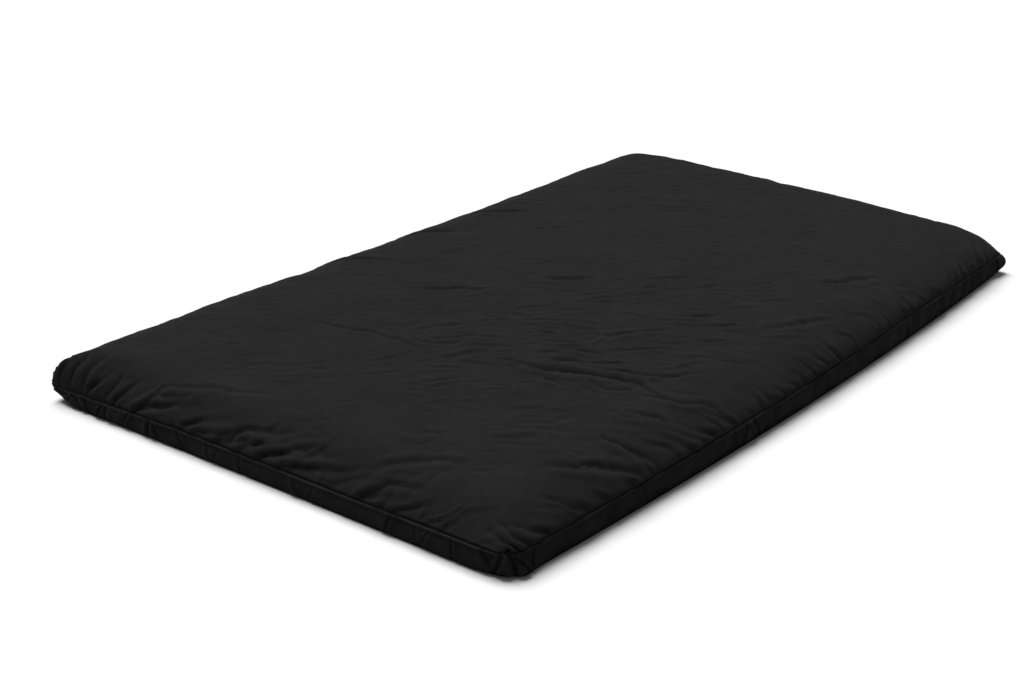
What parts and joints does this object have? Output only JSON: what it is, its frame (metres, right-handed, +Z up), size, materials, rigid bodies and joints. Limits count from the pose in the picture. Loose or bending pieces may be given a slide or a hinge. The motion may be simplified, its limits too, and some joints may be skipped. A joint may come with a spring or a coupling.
{
  "type": "futon mattress",
  "caption": "Boxed futon mattress, 120 x 200 cm: a soft-shouldered tufted cotton and foam filling in a plain cover that zips open along one long side.",
  "frame": {"origin": "middle of the footprint, on the floor", "axes": "+Y along the mattress to the head end, +X across it away from the zip, +Z up"},
  "size_m": [1.2388, 2.088, 0.13],
  "materials": {
    "cover_fabric": "plain matte weave, black",
    "zip_tape": "herringbone tape, black",
    "zip_coil": "moulded coil, black",
    "zip_metal": "black oxide",
    "calico": "unbleached plain weave",
    "cotton_batt": "felted cotton",
    "foam": "open-cell foam",
    "tuft_twine": "waxed twine and wool felt"
  },
  "bodies": {
    "mattress": {"casing_border_foot": "calico", "casing_border_head": "calico", "casing_border_left": "calico", "casing_border_right": "calico", "casing_bottom": "calico", "casing_top": "calico", "cotton_batt_1": "cotton_batt", "cotton_batt_2": "cotton_batt", "cotton_batt_3": "cotton_batt", "cotton_batt_4": "cotton_batt", "cotton_batt_5": "cotton_batt", "cotton_batt_6": "cotton_batt", "cover_border_foot": "cover_fabric", "cover_border_head": "cover_fabric", "cover_border_left_foot_piece": "cover_fabric", "cover_border_left_head_piece": "cover_fabric", "cover_border_right": "cover_fabric", "cover_bottom_panel": "cover_fabric", "cover_left_facing_lower": "cover_fabric", "cover_left_facing_upper": "cover_fabric", "cover_top_panel": "cover_fabric", "foam_core": "foam", "tuft_row1_left": "tuft_twine", "tuft_row1_middle": "tuft_twine", "tuft_row1_right": "tuft_twine", "tuft_row2_left": "tuft_twine", "tuft_row2_middle": "tuft_twine", "tuft_row2_right": "tuft_twine", "tuft_row3_left": "tuft_twine", "tuft_row3_middle": "tuft_twine", "tuft_row3_right": "tuft_twine", "tuft_row4_left": "tuft_twine", "tuft_row4_middle": "tuft_twine", "tuft_row4_right": "tuft_twine", "tuft_row5_left": "tuft_twine", "tuft_row5_middle": "tuft_twine", "tuft_row5_right": "tuft_twine", "zip_coil_lower": "zip_coil", "zip_coil_upper": "zip_coil", "zip_stop_foot": "zip_coil", "zip_stop_head": "zip_coil", "zip_tape_lower": "zip_tape", "zip_tape_upper": "zip_tape"},
    "zip_slider": {"zip_slider": "zip_metal"},
    "zip_pull": {"zip_pull": "zip_metal"}
  },
  "joints": [
    {"name": "zip_slide", "type": "slide", "parent": "mattress", "child": "zip_slider", "axis": [0, -1, 0], "range_m": [0, 1.814]},
    {"name": "pull_swing", "type": "hinge", "parent": "zip_slider", "child": "zip_pull", "pos_m": [-0.6174, 0.89294, 0.024], "axis": [0, 0, -1], "range_deg": [0, 178]}
  ]
}
